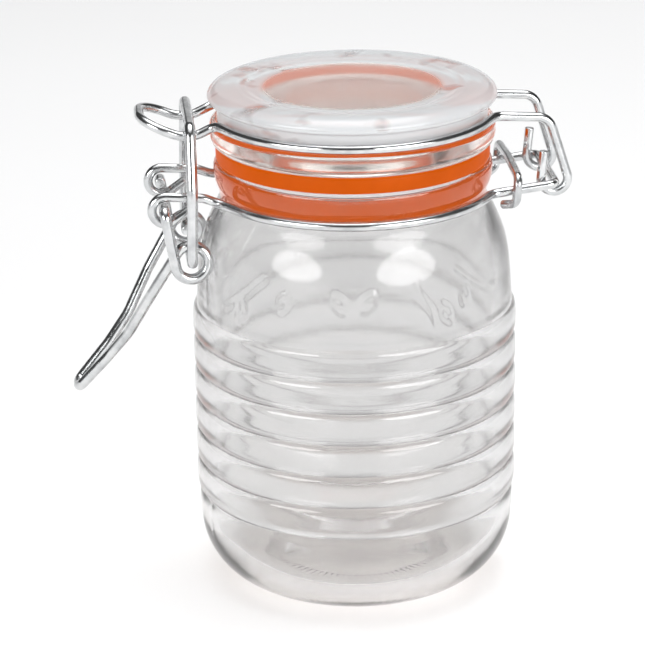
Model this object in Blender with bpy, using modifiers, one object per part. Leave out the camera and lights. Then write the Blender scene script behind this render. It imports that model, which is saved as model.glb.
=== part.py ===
"""Small bail clamp jar: ribbed glass jar, glass lid, rubber gasket and sprung wire closure.

Frame: origin at the centre of the jar's flat base, +Z up, the latch on the -X side, the
hinge on the +X side. Every wire is symmetric about the plane y = 0. Lengths are metres.
"""

from math import acos, atan2, cos, hypot, pi, radians, sin

import bpy
from mathutils import Vector

MM = 0.001
COLLECTION_NAME = "bail_clamp_jar"
TURN_STEPS = 40            # flat sides of a turned glass piece
ARC_STEP = radians(24)     # largest turn of a wire between two points of a bend
RING_STEP = radians(9)     # the same, round the big rings

# ---- glass jar ----
BASE_RADIUS = 18.0 * MM
HEEL_HEIGHT = 12.5 * MM
LOWER_WALL_RADIUS = 29.45 * MM
UPPER_WALL_RADIUS = 28.75 * MM
RIB_COUNT = 6
RIB_PITCH = 6.05 * MM
LOWEST_RIB_Z = 20.6 * MM
RIB_RADIUS = 30.0 * MM
RIB_VALLEY_RADIUS = 29.25 * MM
SHOULDER_Z = 62.0 * MM
NECK_Z = 74.4 * MM
NECK_RADIUS = 24.4 * MM
SHOULDER_POWER = 1.5
FINISH_RADIUS = 25.5 * MM
JAR_RIM_Z = 81.3 * MM
UNDER_RIB_POINT = (29.6 * MM, 16.4 * MM)    # radius, z of the plain wall below the ribs
LIP_ROUND = 0.5 * MM             # inner edge of the rim
BEAD_CORNER = (1.2 * MM, 1.3 * MM)          # radii of the rim's outer edge
BEAD_ROUND = (1.6 * MM, 4.2 * MM)           # radii of the bead below it
MOUTH_RADIUS = 17.6 * MM
FLOOR_Z = 3.4 * MM
FLOOR_RADIUS = 17.0 * MM
INNER_RADIUS = 26.4 * MM
INNER_CORNER_Z = 13.0 * MM
# radius, z of points up the inner wall from where it starts to lean in to the mouth
THROAT = ((26.4 * MM, 59.0 * MM), (25.9 * MM, 66.0 * MM), (24.9 * MM, 70.4 * MM), (23.0 * MM, 74.6 * MM),
          (21.3 * MM, 76.3 * MM), (17.9 * MM, 78.6 * MM), (17.6 * MM, 79.3 * MM))

# ---- gasket and lid ----
GASKET_BOTTOM_Z = 81.6 * MM
GASKET_TOP_Z = 84.0 * MM
GASKET_RADIUS = 25.0 * MM
GASKET_HOLE_RADIUS = 17.7 * MM
LID_SEAT_Z = 84.3 * MM
LID_SKIRT_RADIUS = 26.0 * MM
LID_SKIRT_TOP_Z = 88.5 * MM
LID_GROOVE_RADIUS = 24.6 * MM
LID_FLANGE_BOTTOM_Z = 92.1 * MM
LID_FLANGE_RADIUS = 26.3 * MM
LID_TOP_Z = 95.0 * MM
LID_DISH_Z = 94.3 * MM
LID_DISH_RADIUS = 18.2 * MM
PLUG_RADIUS = 17.2 * MM
PLUG_BOTTOM_Z = 80.3 * MM
PLUG_EDGE = 0.6 * MM
PLUG_HOLLOW_RADIUS = 15.0 * MM
PLUG_HOLLOW_Z = 85.8 * MM
DISH_RIM_WIDTH = 4.2 * MM        # the slope between the dish and the flange's top
FLANGE_TOP_ROUND = (3.4 * MM, 1.9 * MM)
FLANGE_UNDER_ROUND = (1.4 * MM, 1.0 * MM)
SKIRT_TOP_ROUND = 0.6 * MM
SKIRT_UNDER_ROUND = (1.4 * MM, 1.9 * MM)
GASKET_BEVEL = 0.4 * MM

# ---- wires ----
FRAME_WIRE_RADIUS = 0.85 * MM    # lid wire and neck wire
TIE_WIRE_RADIUS = 0.80 * MM
LATCH_WIRE_RADIUS = 1.00 * MM    # bail link and lever
WIRE_RING_RADIUS = 25.75 * MM    # centre line round the lid and round the neck
LID_RING_Z = 89.7 * MM
NECK_RING_Z = 75.7 * MM
HINGE_AXIS = (35.9 * MM, 77.15 * MM)     # x, z of the bar that the lid wire's hooks turn on
LEVER_AXIS = (-35.0 * MM, 75.1 * MM)     # x, z of the lever's two pins
LINK_AXIS = (-30.4 * MM, 65.9 * MM)      # x, z of the link's two feet
COIL_CENTRE = (-30.4 * MM, 65.3 * MM)
COIL_RADIUS = 2.95 * MM
CRANK_Y = 11.4 * MM
COIL_END_Y = 9.1 * MM
EYE_Y = 9.2 * MM


def mm(*values):
    """A point given in millimetres, in metres."""
    return Vector([value * MM for value in values])


# ---------------------------------------------------------------- building blocks

def clear_scene():
    for obj in list(bpy.data.objects):
        bpy.data.objects.remove(obj, do_unlink=True)


def make_collection():
    collection = bpy.data.collections.new(COLLECTION_NAME)
    bpy.context.scene.collection.children.link(collection)
    return collection


def make_material(name, color, roughness, metallic=0.0, transmission=0.0):
    material = bpy.data.materials.new(name)
    material.use_nodes = True
    shader = material.node_tree.nodes["Principled BSDF"]
    shader.inputs["Base Color"].default_value = (*color, 1.0)
    shader.inputs["Roughness"].default_value = roughness
    shader.inputs["Metallic"].default_value = metallic
    shader.inputs["Transmission Weight"].default_value = transmission
    material.diffuse_color = (*color, 1.0)
    return material


def add_turned(name, profile, material, collection, closed=False):
    """A body of revolution about Z. The profile holds (radius, z) pairs, top to bottom outside."""
    mesh = bpy.data.meshes.new(name)
    edges = [(i, i + 1) for i in range(len(profile) - 1)]
    if closed:
        edges.append((len(profile) - 1, 0))
    mesh.from_pydata([(radius, 0.0, z) for radius, z in profile], edges, [])
    obj = bpy.data.objects.new(name, mesh)
    collection.objects.link(obj)
    obj.data.materials.append(material)
    screw = obj.modifiers.new("turn", "SCREW")
    screw.steps = TURN_STEPS
    screw.render_steps = TURN_STEPS
    screw.use_merge_vertices = True
    screw.merge_threshold = 0.00001
    screw.use_smooth_shade = True
    return obj


def add_wire(name, points, radius, material, collection, origin=(0.0, 0.0, 0.0)):
    """A round wire along the points, with flat ends and its origin on its joint's axis."""
    curve = bpy.data.curves.new(name, "CURVE")
    curve.dimensions = "3D"
    curve.bevel_depth = radius
    curve.bevel_resolution = 2
    curve.use_fill_caps = True
    spline = curve.splines.new("POLY")
    spline.points.add(len(points) - 1)
    for spline_point, point in zip(spline.points, points):
        spline_point.co = (*(point - Vector(origin)), 1.0)
    curve.materials.append(material)
    obj = bpy.data.objects.new(name, curve)
    obj.location = origin
    collection.objects.link(obj)
    return obj


def profile_arc(centre, radii, start, end, steps):
    """(radius, z) points of an elliptical corner, from angle start to angle end in degrees."""
    points = []
    for i in range(steps + 1):
        angle = radians(start + (end - start) * i / steps)
        points.append((centre[0] + radii[0] * cos(angle), centre[1] + radii[1] * sin(angle)))
    return points


def bent_path(corners, step=ARC_STEP):
    """A path through the corners, each (point, bend radius); the bends are round arcs."""
    path = [corners[0][0]]
    for i in range(1, len(corners) - 1):
        before, (corner, bend), after = corners[i - 1][0], corners[i], corners[i + 1][0]
        inward = (before - corner).normalized()
        outward = (after - corner).normalized()
        half = inward.angle(outward) / 2
        turn = pi - 2 * half
        if bend == 0.0 or turn < 0.01:
            path.append(corner)
            continue
        centre = corner + (inward + outward).normalized() * (bend / sin(half))
        first = corner + inward * (bend / (sin(half) / cos(half)))
        across = (first - centre).normalized()
        along = -inward
        count = max(2, round(turn / step + 0.5))
        for k in range(count + 1):
            angle = turn * k / count
            path.append(centre + bend * (across * cos(angle) + along * sin(angle)))
    path.append(corners[-1][0])
    return path


def mirrored_path(half):
    """The half path on the -y side, run on through its first point into its mirror image."""
    mirror = [Vector((p.x, -p.y, p.z)) for p in half]
    if abs(half[0].y) < 1e-9:
        mirror = mirror[1:]
    return list(reversed(mirror)) + half


def ring_point(z, angle):
    """A point of a wire ring about Z, by its angle from -X towards -Y, in degrees."""
    a = radians(angle)
    return Vector((-WIRE_RING_RADIUS * cos(a), -WIRE_RING_RADIUS * sin(a), z))


def ring_arc(z, start, end):
    count = round(radians(abs(end - start)) / RING_STEP)
    return [ring_point(z, start + (end - start) * i / count) for i in range(count + 1)]


def ring_exit(z, angle, y):
    """Where the ring's tangent at this angle crosses the line of an arm at -y."""
    a = radians(angle)
    point = ring_point(z, angle)
    side = 1.0 if angle < 90 else -1.0
    tangent = Vector((-sin(a), cos(a), 0.0)) * side
    return point + tangent * ((-y - point.y) / tangent.y)


def tangent_angle(centre, radius, point, side):
    """Angle of the spot on a circle where the line to the outside point touches it."""
    dx, dz = point[0] - centre[0], point[1] - centre[1]
    return (atan2(dz, dx) + side * acos(radius / hypot(dx, dz))) % (2 * pi)


def arc_in_xz(centre, radius, start, end, y_start, y_end, step=ARC_STEP):
    """Points of an arc in an x-z plane that may drift in y, angles in radians."""
    count = max(2, round(abs(end - start) / step))
    points = []
    for i in range(count + 1):
        t = i / count
        angle = start + (end - start) * t
        points.append(Vector((centre[0] + radius * cos(angle), y_start + (y_end - y_start) * t,
                              centre[1] + radius * sin(angle))))
    return points


# ---------------------------------------------------------------- glass and rubber

def rib_profile():
    """The rib band, top to bottom: shallow round bulges that meet in sharp valleys."""
    points = []
    segments = 4
    for rib in reversed(range(RIB_COUNT)):
        crest_z = LOWEST_RIB_Z + RIB_PITCH * rib
        for i in range(segments + (1 if rib == 0 else 0)):
            t = 1.0 - 2.0 * i / segments
            bulge = (RIB_RADIUS - RIB_VALLEY_RADIUS) * (1.0 - t * t)
            points.append((RIB_VALLEY_RADIUS + bulge, crest_z + t * RIB_PITCH / 2))
    return points


def shoulder_profile(steps=7):
    """The shoulder, from the neck down to the upper wall."""
    points = []
    for i in range(steps + 1):
        t = 1.0 - i / steps
        radius = UPPER_WALL_RADIUS - (UPPER_WALL_RADIUS - NECK_RADIUS) * t ** SHOULDER_POWER
        points.append((radius, SHOULDER_Z + (NECK_Z - SHOULDER_Z) * t))
    return points


def build_jar(material, collection):
    inner = [(0.0, FLOOR_Z), (FLOOR_RADIUS, FLOOR_Z)]
    inner += profile_arc((FLOOR_RADIUS, INNER_CORNER_Z),
                         (INNER_RADIUS - FLOOR_RADIUS, INNER_CORNER_Z - FLOOR_Z), -60, 0, 3)
    rim = [(MOUTH_RADIUS, JAR_RIM_Z - LIP_ROUND), (MOUTH_RADIUS + LIP_ROUND, JAR_RIM_Z)]
    bead_z = JAR_RIM_Z - BEAD_CORNER[1]
    bead = profile_arc((FINISH_RADIUS - BEAD_CORNER[0], bead_z), BEAD_CORNER, 90, 0, 3)
    bead += profile_arc((FINISH_RADIUS - BEAD_ROUND[0], bead_z), BEAD_ROUND, 0, -62, 3)[1:]
    heel = profile_arc((BASE_RADIUS, HEEL_HEIGHT), (LOWER_WALL_RADIUS - BASE_RADIUS, HEEL_HEIGHT), 0, -90, 7)
    outside = bead + shoulder_profile() + rib_profile() + [UNDER_RIB_POINT] + heel + [(0.0, 0.0)]
    add_turned("glass_jar", inner + list(THROAT) + rim + outside, material, collection)


def build_gasket(material, collection):
    profile = [
        (GASKET_HOLE_RADIUS, GASKET_TOP_Z),
        (GASKET_RADIUS - GASKET_BEVEL, GASKET_TOP_Z),
        (GASKET_RADIUS, GASKET_TOP_Z - GASKET_BEVEL),
        (GASKET_RADIUS, GASKET_BOTTOM_Z + GASKET_BEVEL),
        (GASKET_RADIUS - GASKET_BEVEL, GASKET_BOTTOM_Z),
        (GASKET_HOLE_RADIUS, GASKET_BOTTOM_Z),
    ]
    add_turned("gasket", profile, material, collection, closed=True)


def build_lid(material, collection):
    dish = [(0.0, LID_DISH_Z), (LID_DISH_RADIUS, LID_DISH_Z), (LID_DISH_RADIUS + DISH_RIM_WIDTH, LID_TOP_Z)]
    flange = profile_arc((LID_FLANGE_RADIUS - FLANGE_TOP_ROUND[0], LID_TOP_Z - FLANGE_TOP_ROUND[1]),
                         FLANGE_TOP_ROUND, 90, 0, 4)
    flange += profile_arc((LID_FLANGE_RADIUS - FLANGE_UNDER_ROUND[0],
                           LID_FLANGE_BOTTOM_Z + FLANGE_UNDER_ROUND[1]), FLANGE_UNDER_ROUND, 0, -90, 2)
    groove = [(LID_GROOVE_RADIUS, LID_FLANGE_BOTTOM_Z), (LID_GROOVE_RADIUS, LID_SKIRT_TOP_Z)]
    skirt = profile_arc((LID_SKIRT_RADIUS - SKIRT_TOP_ROUND, LID_SKIRT_TOP_Z - SKIRT_TOP_ROUND),
                        (SKIRT_TOP_ROUND, SKIRT_TOP_ROUND), 90, 0, 1)
    skirt += profile_arc((LID_SKIRT_RADIUS - SKIRT_UNDER_ROUND[0], LID_SEAT_Z + SKIRT_UNDER_ROUND[1]),
                         SKIRT_UNDER_ROUND, 0, -90, 3)
    plug = [
        (PLUG_RADIUS, LID_SEAT_Z),
        (PLUG_RADIUS, PLUG_BOTTOM_Z + PLUG_EDGE),
        (PLUG_RADIUS - PLUG_EDGE, PLUG_BOTTOM_Z),
        (PLUG_HOLLOW_RADIUS, PLUG_BOTTOM_Z),
        (PLUG_HOLLOW_RADIUS - 1.0 * MM, PLUG_HOLLOW_Z),
        (0.0, PLUG_HOLLOW_Z),
    ]
    add_turned("glass_lid", dish + flange + groove + skirt + plug, material, collection)


# ---------------------------------------------------------------- wires

def lid_wire_path():
    """Half of the lid wire: nose loop, round the lid, hinge arm and the hook on its end."""
    nose_exit = ring_exit(LID_RING_Z, 26, 7.0 * MM)
    hinge_exit = ring_exit(LID_RING_Z, 152, 7.8 * MM)
    nose = bent_path([
        (mm(-38.7, 0.0, 90.8), 0.0),
        (mm(-38.7, -7.0, 90.8), 5.2 * MM),
        (mm(-31.8, -7.0, 88.0), 6.0 * MM),
        (mm(-28.6, -7.0, 88.1), 4.0 * MM),
        (nose_exit, 2.2 * MM),
        (ring_point(LID_RING_Z, 26), 0.0),
    ])
    ring = ring_arc(LID_RING_Z, 26, 152)
    hook_centre, hook_radius = (35.9 * MM, 77.6 * MM), 2.45 * MM
    shoulder = mm(34.8, -7.8, 89.1)
    start = tangent_angle(hook_centre, hook_radius, (shoulder.x, shoulder.z), -1)
    hook = arc_in_xz(hook_centre, hook_radius, start, radians(-186), -7.8 * MM, -7.8 * MM)
    tail = hook[-1] + mm(0.5, 0.0, 5.0)
    arm = bent_path([(ring[-1], 0.0), (hinge_exit, 2.4 * MM), (shoulder, 3.0 * MM), (hook[0], 0.0)])
    return nose[:-1] + ring + arm[1:] + hook[1:] + [tail]


def neck_wire_path():
    """Half of the neck wire: hinge bar, hinge arm, round the neck, latch arm and pin eye."""
    bar = Vector((HINGE_AXIS[0], 0.0, HINGE_AXIS[1]))
    corner = Vector((HINGE_AXIS[0], -9.8 * MM, HINGE_AXIS[1]))
    hinge_exit = ring_exit(NECK_RING_Z, 150, 9.8 * MM)
    latch_exit = ring_exit(NECK_RING_Z, 33, EYE_Y)
    ring = ring_arc(NECK_RING_Z, 150, 33)
    hinge_arm = bent_path([(bar, 0.0), (corner, 1.6 * MM), (hinge_exit, 2.6 * MM), (ring[0], 0.0)])
    eye_centre, eye_radius = (-34.7 * MM, 75.0 * MM), 2.5 * MM
    eye = arc_in_xz(eye_centre, eye_radius, radians(90), radians(305), -EYE_Y, -EYE_Y)
    tail = eye[-1] + mm(2.9, 0.0, 2.0)
    latch_arm = bent_path([(ring[-1], 0.0), (latch_exit, 3.4 * MM), (mm(-28.0, -9.2, 77.0), 3.0 * MM),
                           (eye[0], 0.0)])
    return hinge_arm[:-1] + ring + latch_arm[1:] + eye[1:] + [tail]


def tie_path():
    """Half of the short tie wire that hooks the neck wire's two hinge arms together."""
    return bent_path([
        (mm(28.8, 0.0, 79.6), 0.0),
        (mm(28.7, -11.8, 79.0), 1.7 * MM),
        (mm(28.3, -11.9, 74.3), 1.5 * MM),
        (mm(26.2, -9.6, 73.6), 0.0),
    ])


def link_path():
    """Half of the bail link: top bar, leg and the foot that turns in the lever's coil."""
    return bent_path([
        (mm(-30.0, 0.0, 90.15), 0.0),
        (mm(-30.0, -9.9, 90.15), 2.2 * MM),
        (mm(-30.1, -13.8, 79.5), 8.0 * MM),
        (Vector((LINK_AXIS[0], -13.8 * MM, LINK_AXIS[1])), 1.7 * MM),
        (Vector((LINK_AXIS[0], -6.6 * MM, LINK_AXIS[1])), 0.0),
    ])


def lever_path():
    """Half of the lever: thumb tip, handle arm, one coil, crank and the pin in the eye."""
    handle = [mm(-51.6, -1.9, 39.2), mm(-45.8, -3.4, 45.8), mm(-42.0, -5.0, 50.8), mm(-37.8, -7.6, 58.7)]
    coil_out = tangent_angle(COIL_CENTRE, COIL_RADIUS, (handle[-1].x, handle[-1].z), -1)
    coil_in = tangent_angle(COIL_CENTRE, COIL_RADIUS, LEVER_AXIS, 1)
    coil = arc_in_xz(COIL_CENTRE, COIL_RADIUS, coil_out + 2 * pi, coil_in, -COIL_END_Y, -CRANK_Y)
    arm = bent_path([
        (mm(-51.6, 0.0, 39.2), 0.0),
        (handle[0], 1.5 * MM),
        (handle[1], 12.0 * MM),
        (handle[2], 12.0 * MM),
        (handle[3], 8.0 * MM),
        (coil[0], 0.0),
    ])
    crank = bent_path([
        (coil[-1], 0.0),
        (Vector((LEVER_AXIS[0], -CRANK_Y, LEVER_AXIS[1])), 1.5 * MM),
        (Vector((LEVER_AXIS[0], -7.4 * MM, LEVER_AXIS[1])), 0.0),
    ])
    return arm[:-1] + coil + crank[1:]


def build_wires(collection):
    hinge = (HINGE_AXIS[0], 0.0, HINGE_AXIS[1])
    lever = (LEVER_AXIS[0], 0.0, LEVER_AXIS[1])
    link = (LINK_AXIS[0], 0.0, LINK_AXIS[1])
    rows = [
        ("lid_wire", lid_wire_path(), FRAME_WIRE_RADIUS, hinge),
        ("neck_wire", neck_wire_path(), FRAME_WIRE_RADIUS, (0.0, 0.0, 0.0)),
        ("neck_wire_tie", tie_path(), TIE_WIRE_RADIUS, (0.0, 0.0, 0.0)),
        ("bail_link", link_path(), LATCH_WIRE_RADIUS, link),
        ("lever", lever_path(), LATCH_WIRE_RADIUS, lever),
    ]
    for name, half, radius, origin in rows:
        steel = make_material(name + "_steel", (0.70, 0.71, 0.70), 0.22, metallic=1.0)
        add_wire(name, mirrored_path(half), radius, steel, collection, origin)


def main():
    clear_scene()
    collection = make_collection()
    build_jar(make_material("clear_glass_jar", (0.90, 0.92, 0.92), 0.02, transmission=1.0), collection)
    build_lid(make_material("clear_glass_lid", (0.92, 0.94, 0.94), 0.02, transmission=1.0), collection)
    build_gasket(make_material("orange_rubber", (0.80, 0.15, 0.01), 0.45), collection)
    build_wires(collection)


main()
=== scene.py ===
"""Looks of the small bail clamp jar: moulded clear glass, orange rubber gasket, plated wire closure.

Object frame: origin at the centre of the base, +Z up, latch on the -X side, hinge on the +X
side, wires symmetric about y = 0. Lengths are metres; angles round Z start at the front (-Y).
"""

from math import acos, atan2, copysign, cos, hypot, pi, radians, sin

import bpy
import numpy as np
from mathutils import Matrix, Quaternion, Vector, noise


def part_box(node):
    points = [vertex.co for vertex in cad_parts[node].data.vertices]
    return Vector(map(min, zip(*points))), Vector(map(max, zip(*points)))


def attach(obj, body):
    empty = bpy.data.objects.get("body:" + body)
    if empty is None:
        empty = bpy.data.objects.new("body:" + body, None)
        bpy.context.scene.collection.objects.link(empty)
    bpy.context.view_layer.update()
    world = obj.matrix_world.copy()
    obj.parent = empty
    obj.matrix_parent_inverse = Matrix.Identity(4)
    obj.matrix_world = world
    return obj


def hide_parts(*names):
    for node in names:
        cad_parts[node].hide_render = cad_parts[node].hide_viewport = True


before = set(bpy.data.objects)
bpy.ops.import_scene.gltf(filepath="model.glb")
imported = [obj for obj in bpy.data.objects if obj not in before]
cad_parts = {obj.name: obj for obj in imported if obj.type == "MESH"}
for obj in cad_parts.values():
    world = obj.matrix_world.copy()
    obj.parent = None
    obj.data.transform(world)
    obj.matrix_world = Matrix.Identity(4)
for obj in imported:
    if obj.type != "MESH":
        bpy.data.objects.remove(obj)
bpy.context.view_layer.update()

MM = 0.001
ARC_STEP = radians(6)            # largest turn of a wire between two points of a bend
RING_STEP = radians(2.5)         # the same, round the big rings
WIRE_SIDES = 20

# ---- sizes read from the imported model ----
JAR_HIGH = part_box("glass_jar")[1]
LID_LOW, LID_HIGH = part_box("glass_lid")
GASKET_LOW, GASKET_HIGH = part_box("gasket")
JAR_RIM_Z = JAR_HIGH.z
RIB_RADIUS = JAR_HIGH.y
LID_TOP_Z = LID_HIGH.z
LID_FLANGE_RADIUS = LID_HIGH.y
PLUG_BOTTOM_Z = LID_LOW.z
GASKET_RADIUS = GASKET_HIGH.y

# ---- glass jar ----
BASE_RADIUS = 18.0 * MM
HEEL_HEIGHT = 12.5 * MM
LOWER_WALL_RADIUS = 29.45 * MM
UPPER_WALL_RADIUS = 28.75 * MM
RIB_COUNT = 6
RIB_PITCH = 6.05 * MM
LOWEST_RIB_Z = 20.6 * MM
RIB_VALLEY_RADIUS = 29.25 * MM
NECK_Z = 74.4 * MM
FINISH_RADIUS = 25.5 * MM
MOUTH_RADIUS = 17.6 * MM
LIP_ROUND = 0.5 * MM
RIM_INSET = 1.4 * MM             # the flat of the rim lies this far inside its two edges
BEAD_CORNER = (1.2 * MM, 1.3 * MM)
BEAD_ROUND = (1.6 * MM, 4.2 * MM)
BEAD_ROUND_END = -62             # degrees, where the bead's underside meets the neck
FLOOR_Z = 3.4 * MM
FLOOR_CROWN = 0.35 * MM
FLOOR_FLAT_RADIUS = 17.0 * MM
INNER_RADIUS = 26.4 * MM
INNER_CORNER_Z = 13.0 * MM
INNER_WALL_Z = 14.0 * MM         # the straight inner wall starts here
RIB_SEGMENTS = 12
RIB_POWER = 4.5                  # flatter crests and steeper sides than a round bulge
# (radius, z) in mm: control points of the inner wall's curve into the mouth
THROAT = ((26.4, 56.0), (26.4, 60.0), (26.2, 64.5), (25.3, 69.0), (24.2, 72.2), (23.1, 74.6), (21.6, 76.1),
          (19.9, 77.3), (18.2, 78.45), (17.4, 79.0), (17.6, 79.6), (17.6, 80.2))
# and of the outside from the neck over the shoulder to the topmost rib
SHOULDER = ((24.4, 74.4), (25.3, 72.6), (26.6, 70.0), (27.7, 67.2), (28.45, 64.2), (28.8, 61.0),
            (29.05, 57.6), (29.25, 53.875))
UNDER_RIB = ((29.58, 16.3), (29.58, 14.6))    # the swell between the lowest rib and the heel
PUSH_UP_RADIUS = 14.4 * MM
PUSH_UP_HEIGHT = 1.3 * MM
PUSH_UP_STEPS = 14
BEARING_INSET = 0.3 * MM
JAR_COLUMNS = 336
KNURL_TEETH = 84                 # four columns each
KNURL_DEPTH = 0.20 * MM
KNURL_FADE = 0.6 * MM
RELIEF_HEIGHT = 0.22 * MM
RELIEF_HALF_WIDTH = 0.55         # mm, of a raised stroke
RELIEF_LOW_Z, RELIEF_HIGH_Z = 54.0 * MM, 73.0 * MM
SEAM_ANGLE = 97.0                # degrees; the other seam is opposite
SEAM_HEIGHT = 0.03 * MM
SEAM_SHARPNESS = 4000
SEAM_LOW_Z, SEAM_HIGH_Z = 4.0 * MM, 74.0 * MM
INNER_WAVE_HEIGHT = 0.07 * MM
INNER_WAVE_SIZE = 9.0 * MM
INNER_WAVE_HIGH_Z = 76.0 * MM
LAMP_TINT = (0.84, 0.83, 0.82)   # what one glass surface lets through of a lamp's light

# ---- gasket and lid ----
GASKET_HOLE_RADIUS = 17.7 * MM
GASKET_SPREAD = 0.33 * MM        # the pressed rubber fills the working gap and wets the glass
GASKET_CROWN = 0.12 * MM         # its outer edge stays clear of the lid
GASKET_CROWN_WIDTH = 2.0 * MM
GASKET_EDGE = 0.55 * MM
GASKET_HOLE_EDGE = 0.2 * MM
GASKET_FLAT_INSET = 0.4 * MM
GASKET_BELLY = 0.03 * MM         # the squeezed rim stands this far out
GASKET_BELLY_HALF_HEIGHT = 0.12 * MM
LID_SEAT_Z = 84.3 * MM
LID_SKIRT_RADIUS = 26.0 * MM
LID_SKIRT_TOP_Z = 88.5 * MM
LID_GROOVE_RADIUS = 24.6 * MM
LID_FLANGE_BOTTOM_Z = 92.1 * MM
LID_DISH_Z = 94.3 * MM
LID_DISH_RADIUS = 18.2 * MM
# (radius, z) in mm: from the dish up two faint steps to the flange's top
DISH_SLOPE = ((17.4, 94.3), (18.5, 94.42), (19.5, 94.70), (20.3, 94.76), (21.3, 94.93), (22.7, 95.0))
PLUG_RADIUS = 17.2 * MM
PLUG_HOLLOW_RADIUS = 15.0 * MM
PLUG_HOLLOW_TOP_RADIUS = 14.2 * MM
PLUG_HOLLOW_FLAT_RADIUS = 12.0 * MM
PLUG_HOLLOW_Z = 85.8 * MM
FLANGE_TOP_ROUND = (3.4 * MM, 1.9 * MM)
FLANGE_UNDER_ROUND = (1.4 * MM, 1.0 * MM)
GROOVE_TOP_ROUND = (0.6 * MM, 0.6 * MM)
GROOVE_FOOT_ROUND = (0.5 * MM, 0.5 * MM)
SKIRT_TOP_ROUND = (0.8 * MM, 0.8 * MM)
SKIRT_UNDER_ROUND = (1.4 * MM, 1.9 * MM)
SEAT_INSET = 1.8 * MM
PLUG_NECK_ROUND = (0.4 * MM, 0.4 * MM)
PLUG_EDGE_ROUND = (0.7 * MM, 0.7 * MM)
HOLLOW_ROUND = (1.6 * MM, 1.6 * MM)
MARK_RADIUS = 5.0 * MM           # the plain low ring in the dish
MARK_HALF_WIDTH = 1.0 * MM
MARK_HEIGHT = 0.03 * MM
MARK_FIELD_RADIUS = 9.0 * MM
MARK_STEPS = 16
DENT_DEPTH = 0.05 * MM           # slight unevenness of the lid's pressed top
DENT_SIZE = 5.0 * MM
DENT_EDGE_WIDTH = 1.8 * MM       # the outermost part of the flange stays even

# ---- wires ----
FRAME_WIRE_RADIUS = 0.85 * MM
TIE_WIRE_RADIUS = 0.80 * MM
LATCH_WIRE_RADIUS = 1.00 * MM
WIRE_RING_RADIUS = 25.75 * MM
LID_RING_Z = 89.7 * MM
NECK_RING_Z = 75.7 * MM
HINGE_AXIS = (35.9 * MM, 77.15 * MM)
LEVER_AXIS = (-35.0 * MM, 75.1 * MM)
LINK_AXIS = (-30.4 * MM, 65.9 * MM)
COIL_CENTRE = (-30.4 * MM, 65.3 * MM)
COIL_RADIUS = 2.95 * MM
CRANK_Y = 11.4 * MM
COIL_END_Y = 9.1 * MM
EYE_Y = 9.2 * MM
WORN_EDGE = 0.22                 # share of a wire's radius that is worn round at its cut ends
WORN_STEPS = 3

# ---- camera ----
CAMERA_AZIMUTH = 5.30            # degrees, round towards the latch side
CAMERA_ELEVATION = 19.88
CAMERA_ROLL = 0.82
CAMERA_DISTANCE = 515.8 * MM
CAMERA_AIM = (-5.98 * MM, 0.0, 48.97 * MM)
CAMERA_LENS = 154.5              # mm
CAMERA_SENSOR = 36.0             # mm

# ---- studio ----
FLOOR_SIZE = 12.0
FLOOR_CELLS = 24
FLOOR_DROP = 0.02 * MM
WORLD_STRENGTH = 1.1
# (sine of the elevation, grey)
WORLD_STOPS = ((0.0, 0.95), (0.09, 0.90), (0.14, 0.05), (0.78, 0.05), (0.88, 1.00), (1.0, 1.20))
# name, azimuth and elevation in degrees, distance, the two sizes, watts
SOFTBOXES = (
    ("softbox_left", -50.0, 19.0, 0.95, (0.66, 0.34), 4.0),
    ("softbox_right", 34.0, 18.0, 0.95, (0.78, 0.42), 5.8),
    ("softbox_top", 150.0, 80.0, 1.10, (0.90, 0.90), 7.0),
)
SHEEN_BOX = ("softbox_behind", 174.7, 20.0, 1.40, (0.80, 0.55), 0.55)


def mm(*values):
    """A point given in millimetres, in metres."""
    return Vector([value * MM for value in values])


def in_metres(points):
    """(radius, z) points given in millimetres, in metres."""
    return [(r * MM, z * MM) for r, z in points]


# ---------------------------------------------------------------- node materials

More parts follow.
